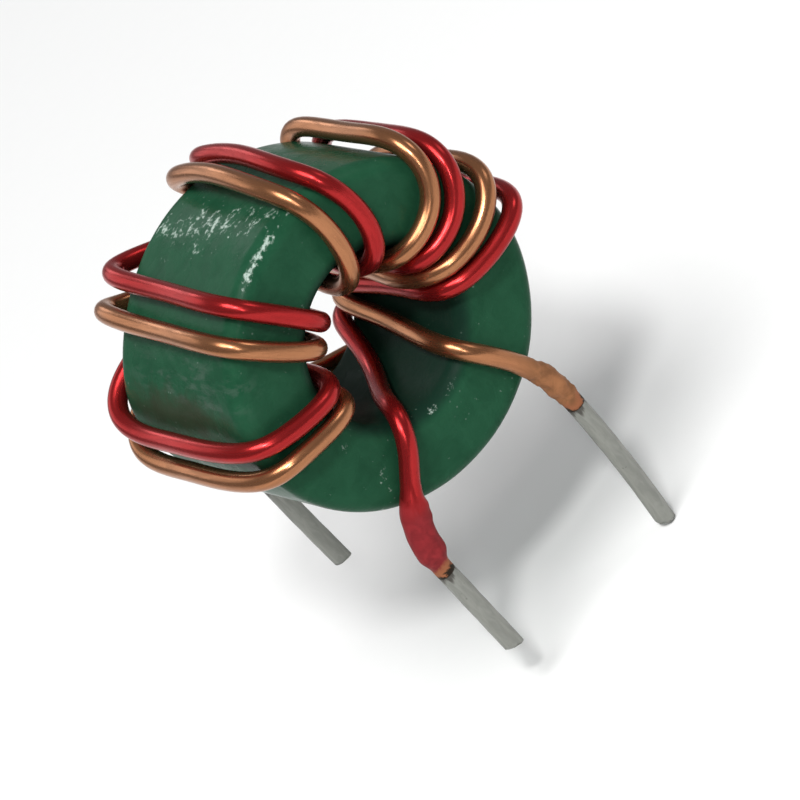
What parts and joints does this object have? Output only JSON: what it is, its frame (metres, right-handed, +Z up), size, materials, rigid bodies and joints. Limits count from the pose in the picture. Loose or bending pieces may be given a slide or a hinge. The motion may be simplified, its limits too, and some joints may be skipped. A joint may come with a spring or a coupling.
{
  "type": "common mode choke",
  "caption": "Common mode choke: coated ferrite ring standing on edge, wound with a red and a copper enamelled wire, with tinned leads for a circuit board.",
  "frame": {"origin": "middle of the four leads' pattern, on the board's surface", "axes": "+Z up from the board, with the leads pointing down; +Y from the ring's front face to its back face, along the ring's axis"},
  "size_m": [0.0227, 0.0146, 0.0315],
  "materials": {
    "ferrite": "matte sintered ferrite",
    "green_epoxy": "lumpy glossy epoxy powder coat",
    "red_enamel": "glossy red wire enamel",
    "copper_enamel": "clear amber wire enamel over copper",
    "tinned_wire": "dull dipped solder"
  },
  "bodies": {
    "root": {"ferrite_core": "ferrite", "epoxy_coat": "green_epoxy", "red_winding": "red_enamel", "copper_winding": "copper_enamel", "red_front_lead": "tinned_wire", "copper_front_lead": "tinned_wire", "red_rear_lead": "tinned_wire", "copper_rear_lead": "tinned_wire"}
  },
  "joints": []
}
